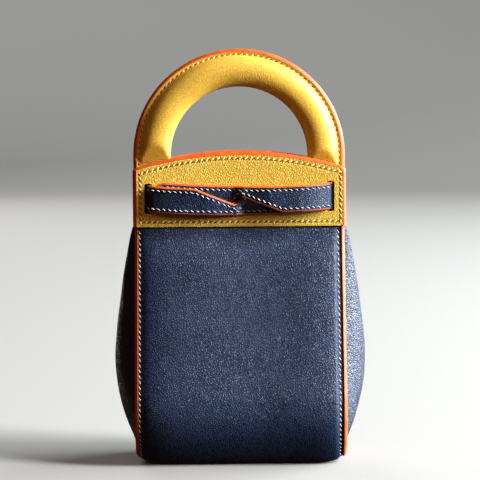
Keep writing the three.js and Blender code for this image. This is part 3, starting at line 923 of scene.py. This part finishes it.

# Stitches of the yokes: waxed yellow thread, close to the leather's colour, round all four sides. Small dark
# slits lie between the stitches at the pricked holes: painted shade of the holes and of the stitches'
# shadows.
YELLOW_THREAD = (0.90, 0.69, 0.24, 1)
YELLOW_THREAD_SHADE = (0.72, 0.46, 0.10, 1)
HOLE_SHADE = (0.05, 0.018, 0.003, 1)
HOLE_RIM_SHADE = (0.16, 0.06, 0.006, 1)
YOKE_STITCH = (2.7 * MM, 1.0 * MM, 0.8 * MM)
YOKE_HOLE = (2.6 * MM, 0.62 * MM, 0.3 * MM)
YOKE_SLANT = math.radians(35)
YOKE_STITCH_SUNK = 0.6 * YOKE_SEAM_DEPTH
YOKE_HOLE_SUNK = 0.35 * YOKE_SEAM_DEPTH
HOLE_PATCH = 0.5 * MM
HOLE_ROUGHNESS = 0.8

yellow_thread = thread("yellow_thread", YELLOW_THREAD, YELLOW_THREAD_SHADE)
# Painted shade: the slits between the stitches are nearly black, for the shade in the holes and under the
# raised stitches.
needle_hole_shade, hole_shader, hole_place = new_material("needle_hole_shade")
hole_place.noise(HOLE_PATCH).step(0.2, 0.8).mix(HOLE_SHADE, HOLE_RIM_SHADE).into(hole_shader, "Base Color")
hole_shader.inputs["Roughness"].default_value = HOLE_ROUGHNESS

yoke_loop = list(YOKE_SEAM) + [YOKE_SEAM[0]]
yoke_seams = []
yoke_holes = []
for place in (on_front_yoke, on_back_yoke):
    spots, ways = spaced(yoke_loop, STITCH_PITCH)
    yoke_seams.append((spots[:-1], ways[:-1], sunk(place, YOKE_STITCH_SUNK)))
    spots, ways = spaced(yoke_loop, STITCH_PITCH, 0.5)
    yoke_holes.append((spots, ways, sunk(place, YOKE_HOLE_SUNK)))
sew("yoke_stitches", yoke_seams, YOKE_STITCH, YOKE_SLANT, yellow_thread, "yellow_thread")
sew("yoke_needle_holes", yoke_holes, YOKE_HOLE, YOKE_SLANT, needle_hole_shade, "yellow_thread")

# Handle: an arch of yellow calf wrapped round a firm core and sewn shut along its outside, so that a flat
# flange runs round it. Its feet are pressed to flat tabs, which stand behind the front yoke.
HANDLE_Y = 2.0 * MM
ARCH_Z = 175.2 * MM
FOOT_Z = 139.8 * MM
ARCH_RADIUS = HALF_WIDTH
HANDLE_PAINT = 1.6 * MM
HANDLE_SIDE_PAINT = 2.0 * MM
HANDLE_PAINT_HALF = 1.75 * MM
HANDLE_PAINT_PROUD = 0.3 * MM
FLANGE_HALF = 1.6 * MM
FLANGE_LIP_HALF = 1.85 * MM
HANDLE_SEAM_RADIUS = 57.5 * MM
HANDLE_SEAM_HALF = 1.3 * MM
TAB_HALF = 1.2 * MM
ROLL_INNER = 39.25 * MM
ROLL_OUTER = 56.9 * MM
ROLL_HALF = 6.5 * MM
ROLL_POINTS = 15
ROLL_ROUND = 0.9
ROLL_START = math.radians(14)
ARCH_STEPS = 120
LEG_STEPS = 28
FRONT_PRESS_Z = {-1: (170 * MM, 182.3 * MM), 1: (166.5 * MM, 178 * MM)}
BACK_PRESS_Z = (174.4 * MM, 187 * MM)
CREASE_SOFT = 0.7 * MM
SEAM_DIP = 0.7 * MM
ARCH_POINTS = 61
LUMP_SHARE = 0.03
HANDLE_LUMP = 13 * MM
HAIR = 0.01 * MM
HANDLE_STITCH = (2.5 * MM, 0.9 * MM, 0.8 * MM)
HANDLE_HOLE = (1.9 * MM, 0.5 * MM, 0.3 * MM)
HANDLE_SLANT = math.radians(24)
HANDLE_YELLOW = (0.75, 0.50, 0.074, 1)
HANDLE_CREASE = (0.64, 0.36, 0.035, 1)
roll_middle = (ROLL_INNER + ROLL_OUTER) / 2
roll_reach = (ROLL_OUTER - ROLL_INNER) / 2
half_section = [
    (ARCH_RADIUS - HANDLE_PAINT, FLANGE_LIP_HALF),
    (HANDLE_SEAM_RADIUS + SEAM_DIP, FLANGE_HALF),
    (HANDLE_SEAM_RADIUS, HANDLE_SEAM_HALF),
]
for angle in np.linspace(ROLL_START, math.pi, ROLL_POINTS):
    roll_half = ROLL_HALF * math.sin(angle) ** ROLL_ROUND
    half_section.append((roll_middle + roll_reach * math.cos(angle), roll_half))
section = [(radius, -half) for radius, half in half_section]
section += [(radius, half) for radius, half in half_section[-2::-1]]

deselect_all()
bpy.ops.mesh.primitive_circle_add(vertices=len(section), radius=1)
handle = bpy.context.object
handle.name = "handle_leather"
for vertex, (radius, half) in zip(handle.data.vertices, section):
    vertex.co = (-radius, HANDLE_Y + half, ARCH_Z)
leg_step = (0, 0, (FOOT_Z - ARCH_Z) / LEG_STEPS)
bpy.ops.object.mode_set(mode="EDIT")
bpy.ops.mesh.select_all(action="SELECT")
bpy.ops.mesh.spin(steps=ARCH_STEPS, angle=-math.pi, center=(0, HANDLE_Y, ARCH_Z), axis=(0, 1, 0))
for step in range(LEG_STEPS):
    bpy.ops.mesh.extrude_region_move(TRANSFORM_OT_translate={"value": leg_step})
bpy.ops.mesh.edge_face_add()
pick_edges(handle, lambda one, other: (
    max(one.x, other.x) < 0 and max(abs(one.z - ARCH_Z), abs(other.z - ARCH_Z)) < HAIR
))
for step in range(LEG_STEPS):
    bpy.ops.mesh.extrude_region_move(TRANSFORM_OT_translate={"value": leg_step})
bpy.ops.mesh.edge_face_add()
bpy.ops.object.mode_set(mode="OBJECT")
face_outwards()
for vertex in handle.data.vertices:
    half = vertex.co.y - HANDLE_Y
    flat_z, full_z = FRONT_PRESS_Z[side_of(vertex.co.x)] if half < 0 else BACK_PRESS_Z
    pressed = TAB_HALF + (ROLL_HALF - TAB_HALF) * max(0.0, (vertex.co.z - flat_z) / (full_z - flat_z))
    near = max(0.0, 1 - abs(abs(half) - pressed) / CREASE_SOFT)
    kept = min(abs(half), pressed) - near**2 * CREASE_SOFT / 4
    lump = 1 + LUMP_SHARE * noise.noise(vertex.co / HANDLE_LUMP)
    vertex.co.y = HANDLE_Y + math.copysign(kept * lump, half)

PEBBLES_ACROSS = 0.5  # how many there are to one round the arch
PEBBLES_DEEP = 0.25


def bent_hide(place):
    """The grain of a hide bent over the arch: its pebbles are crowded round the arch and long across it."""
    x = place.add("ShaderNodeSeparateXYZ", {}, {"Vector": place}, "X")
    up = x.also("Z") - ARCH_Z
    radius = x.math("SQRT", x * x + up * up, 0)
    around = roll_middle * x.math("ARCTAN2", x, up)
    across = PEBBLES_ACROSS * x.also("Y")
    return x.add("ShaderNodeCombineXYZ", {}, {"X": around, "Y": across, "Z": PEBBLES_DEEP * radius})


handle_calf = leather(
    "handle_calf", HANDLE_YELLOW, HANDLE_CREASE,
    pebble=0.7 * MM, relief=0.055 * MM, gloss=0.32, shine=0.5, lie=bent_hide,
)
fit(handle, handle_calf, "yellow_leather", "handle")


def arch_route(radius):
    """A route up one leg of the handle, over the arch and down the other leg."""
    angles = np.linspace(math.pi, 0, ARCH_POINTS)
    arch = [(radius * math.cos(angle), ARCH_Z + radius * math.sin(angle)) for angle in angles]
    return [(-radius, FOOT_Z)] + arch + [(radius, FOOT_Z)]


def on_flange(x, z, out):
    return Vector((x, HANDLE_Y - FLANGE_HALF - out, z))


def on_flange_back(x, z, out):
    return Vector((x, HANDLE_Y + FLANGE_HALF + out, z))


def handle_paint_swell(x):
    """How many times wider the paint is down the handle's sides than over its top."""
    return 1 + (HANDLE_SIDE_PAINT / HANDLE_PAINT - 1) * (x / ARCH_RADIUS) ** 2


handle_paint_size = (HANDLE_PAINT, HANDLE_PAINT_HALF, HANDLE_PAINT_PROUD)
paint_bead("handle_paint", arch_route(ARCH_RADIUS), on_flange, handle_paint_size, swell=handle_paint_swell)
handle_sunk = FLANGE_HALF - HANDLE_SEAM_HALF
handle_seams = []
handle_holes = []
for place in (on_flange, on_flange_back):
    spots, ways = spaced(arch_route(HANDLE_SEAM_RADIUS), STITCH_PITCH)
    handle_seams.append((spots, ways, sunk(place, handle_sunk)))
    spots, ways = spaced(arch_route(HANDLE_SEAM_RADIUS), STITCH_PITCH, 0.5)
    handle_holes.append((spots, ways, sunk(place, handle_sunk / 2)))
sew("handle_stitches", handle_seams, HANDLE_STITCH, HANDLE_SLANT, yellow_thread, "yellow_thread")
sew("handle_needle_holes", handle_holes, HANDLE_HOLE, HANDLE_SLANT, needle_hole_shade, "yellow_thread")

# Straps: navy goatskin, sewn with white thread and painted round the edge. Each comes out of a slot, lies
# across the front yoke and hooks by a notch into the other's notch, so that its tail lies behind the other.
STRAP_THICKNESS = 1.8 * MM
STRAP_HALF = 7.65 * MM
STRAP_BEND = 4.6 * MM
STRAP_FOLD = 4.2 * MM
ANCHOR_X = 58 * MM
ANCHOR_Y = -0.4 * MM
FRONT_LAYER_Y = -15.1 * MM
REAR_LAYER_Y = -12.0 * MM
CROSSING_HALF = 2.6 * MM
SAG_REACH = 48.3 * MM
TAIL_CUT = 4.4 * MM
TAIL_CORNER_IN = 3.4 * MM
TIP_FADE = 12 * MM
NOTCH_EDGE = (  # how far across from the middle, how far up from the centre line
    (24.8, 7.65), (2.6, -1.1), (0.8, -1.1), (-0.5, 0.4), (-2.8, 7.65),
)
STRAPS = (
    # name, side, height of the tail, sag, reach of the tail past the middle, start, radius and turn of the
    # sweep that leads to the slot, straight run after it, how far the strap arches forward, how far it tips
    ("left", -1, 151.4, 2.2, 40, 24, 90, 15.7, 0, 2.2, 0.13),
    ("right", 1, 153.1, 2.0, 48.3, 32, 30, 30, 3.35, 2.5, 0.03),
)
ARCH_FULL = 19 * MM
STRAP_CORNER = 1.5 * MM
STRAP_STITCH = (2.1 * MM, 0.47 * MM, 0.84 * MM)
STRAP_PAINT = 0.88 * MM
STRAP_PAINT_HALF = 1.05 * MM
STRAP_PAINT_PROUD = 0.08 * MM
STRAP_PAINT_STEP = 1 * MM
STRAP_SEAM_IN = 2.4 * MM
STRAP_COLUMNS = 150
STRAP_ROWS = 16


def strap_stretches(sweep_x, sweep_radius, turn, slant, arch):
    """The strap's way from its sweep through the slot to the handle's tab, and where it passes the slot."""
    slot_x = sweep_x + sweep_radius * math.sin(turn) + slant * math.cos(turn)
    slot_x += STRAP_FOLD * (1 - math.sin(turn))
    inside_y = FRONT_LAYER_Y - arch + sweep_radius * (1 - math.cos(turn)) + slant * math.sin(turn)
    inside_y += STRAP_FOLD * math.cos(turn)
    quarter = math.radians(90)
    stretches = (
        (sweep_radius * turn, turn),
        (slant, 0),
        (STRAP_FOLD * (quarter - turn), quarter - turn),
        (ANCHOR_Y - STRAP_BEND - inside_y, 0),
        (STRAP_BEND * quarter, -quarter),
        (ANCHOR_X - STRAP_BEND - slot_x, 0),
    )
    return stretches, slot_x


def strap_place(side, slot_z, tail_z, sag, sweep_x, stretches, slot_x, arch, tip):
    """The function that puts a point of a flat strap in its place on the bag."""

    def plan(distance):
        """Seen from above, how far across and how far back the strap's middle layer is, past its sweep."""
        if distance < 0:
            outward, backward = follow(stretches, -distance)[:2]
            return sweep_x + outward, FRONT_LAYER_Y - arch + backward
        across = sweep_x - distance
        behind = soft_step(-across, -CROSSING_HALF, CROSSING_HALF)
        arched = arch * soft_step(across, CROSSING_HALF, ARCH_FULL)
        return across, FRONT_LAYER_Y - arched + behind * (REAR_LAYER_Y - FRONT_LAYER_Y)

    def place(distance, up, out):
        probe = 0.05 * MM
        across, y = plan(distance)
        ahead = plan(distance + probe)
        before = plan(distance - probe)
        way = Vector((ahead[0] - before[0], ahead[1] - before[1])).normalized()
        lift = out + STRAP_THICKNESS / 2
        share = max(0.0, (slot_x - across) / (slot_x + SAG_REACH))
        z = slot_z + share * (tail_z - slot_z) - 4 * sag * share * (1 - share)
        front = soft_step(across, -CROSSING_HALF, 2 * CROSSING_HALF) * soft_step(distance, -TIP_FADE, 0)
        y -= tip * front * up
        return Vector((side * (across - way.y * lift), y + way.x * lift, z - side * up))

    return place


slot_passes = {}
for name, side, *sizes, turn, slant, arch, tip in STRAPS:
    tail_z, sag, tail, sweep_x, sweep_radius = (size * MM for size in sizes)
    stretches, slot_x = strap_stretches(sweep_x, sweep_radius, math.radians(turn), slant * MM, arch * MM)
    slot_passes[side] = slot_x
    place = strap_place(side, SLOT_HEIGHTS[side], tail_z, sag, sweep_x, stretches, slot_x, arch * MM, tip)
    start = -sum(length for length, bend in stretches)
    end = sweep_x + tail
    outline = [(start, STRAP_HALF)]
    outline += [(sweep_x - across * MM, edge * MM) for across, edge in NOTCH_EDGE]
    outline += [(end - TAIL_CUT, STRAP_HALF), (end, STRAP_HALF - TAIL_CORNER_IN)]
    outline += [(end, TAIL_CORNER_IN - STRAP_HALF), (end - TAIL_CUT, -STRAP_HALF), (start, -STRAP_HALF)]
    cut = inset(outline, STRAP_PAINT)
    upper_cut = cut[: len(cut) - 3]
    lower_cut = cut[: len(cut) - 4: -1]
    deselect_all()
    bpy.ops.mesh.primitive_grid_add(x_subdivisions=STRAP_COLUMNS, y_subdivisions=STRAP_ROWS, size=1)
    strap = bpy.context.object
    strap.name = "strap_leather_" + name
    for vertex in strap.data.vertices:
        along = start + (vertex.co.x + 0.5) * (end - STRAP_PAINT - start)
        high = np.interp(along, upper_cut[:, 0], upper_cut[:, 1])
        low = np.interp(along, lower_cut[:, 0], lower_cut[:, 1])
        up = low + (vertex.co.y + 0.5) * (high - low)
        vertex.co = place(along, up, 0.0)
    thicken(strap, STRAP_THICKNESS)
    face_outwards()
    fit(strap, navy_leather, "navy_leather", "strap_" + name)
    painted = rounded(outline, STRAP_CORNER)
    paint_name = "strap_paint_" + name
    paint_size = (STRAP_PAINT, STRAP_PAINT_HALF, STRAP_PAINT_PROUD)
    paint_bead(paint_name, painted, place, paint_size, step=STRAP_PAINT_STEP)
    spots, ways = spaced(rounded(inset(outline, STRAP_SEAM_IN), STRAP_CORNER), STITCH_PITCH)
    stitches = [(spots, ways, place)]
    sew("strap_stitches_" + name, stitches, STRAP_STITCH, -STITCH_SLANT, white_thread, "white_thread")

# Slot shades: a thin, nearly black cup in each slot, which stands for the shade inside it: painted shade. It
# covers the slot's cut edges, and its bottom closes the slot round the strap, which passes through it.
LINING_FRONT_Y = FRONT_YOKE_Y + 0.25 * MM
LINING_BACK_Y = FRONT_YOKE_Y + 3.4 * MM
LINING_THICKNESS = 0.2 * MM
LINING_INSIDE = 0.03 * MM
LINING_GAP = 0.12 * MM
SLOT_SHADE_BLACK = (0.006, 0.003, 0.002, 1)
SLOT_SHADE_ROUGHNESS = 0.75
FACES_FRONT = -0.9

# Painted shade: the cup is nearly black so that the slots look dark inside.
painted_slot_shade, slot_shade_shader = new_material("painted_slot_shade")[:2]
slot_shade_shader.inputs["Base Color"].default_value = SLOT_SHADE_BLACK
slot_shade_shader.inputs["Roughness"].default_value = SLOT_SHADE_ROUGHNESS

for side, name in SIDES:
    shade_cup = slot_block(side, LINING_FRONT_Y, LINING_BACK_Y, LINING_INSIDE)
    shade_cup.name = "slot_shade_cup_" + name
    bpy.ops.object.mode_set(mode="EDIT")
    bpy.ops.mesh.select_all(action="DESELECT")
    work = bmesh.from_edit_mesh(shade_cup.data)
    for face in work.faces:
        if face.normal.y < FACES_FRONT:
            face.select_set(True)
    bmesh.update_edit_mesh(shade_cup.data)
    bpy.ops.mesh.delete(type="ONLY_FACE")
    bpy.ops.object.mode_set(mode="OBJECT")
    thicken(shade_cup, LINING_THICKNESS)
    passage_out = slot_passes[side] + STRAP_THICKNESS / 2 + LINING_GAP
    passage_in = SLOT_X - SLOT_WIDTH
    passage_middle = (side * (passage_in + passage_out) / 2, FRONT_YOKE_Y, SLOT_HEIGHTS[side])
    passage_size = (passage_out - passage_in, 2 * PUNCH_REACH, 2 * (STRAP_HALF + LINING_GAP))
    cut_out(shade_cup, block(passage_middle, passage_size))
    fit(shade_cup, painted_slot_shade, "navy_leather")
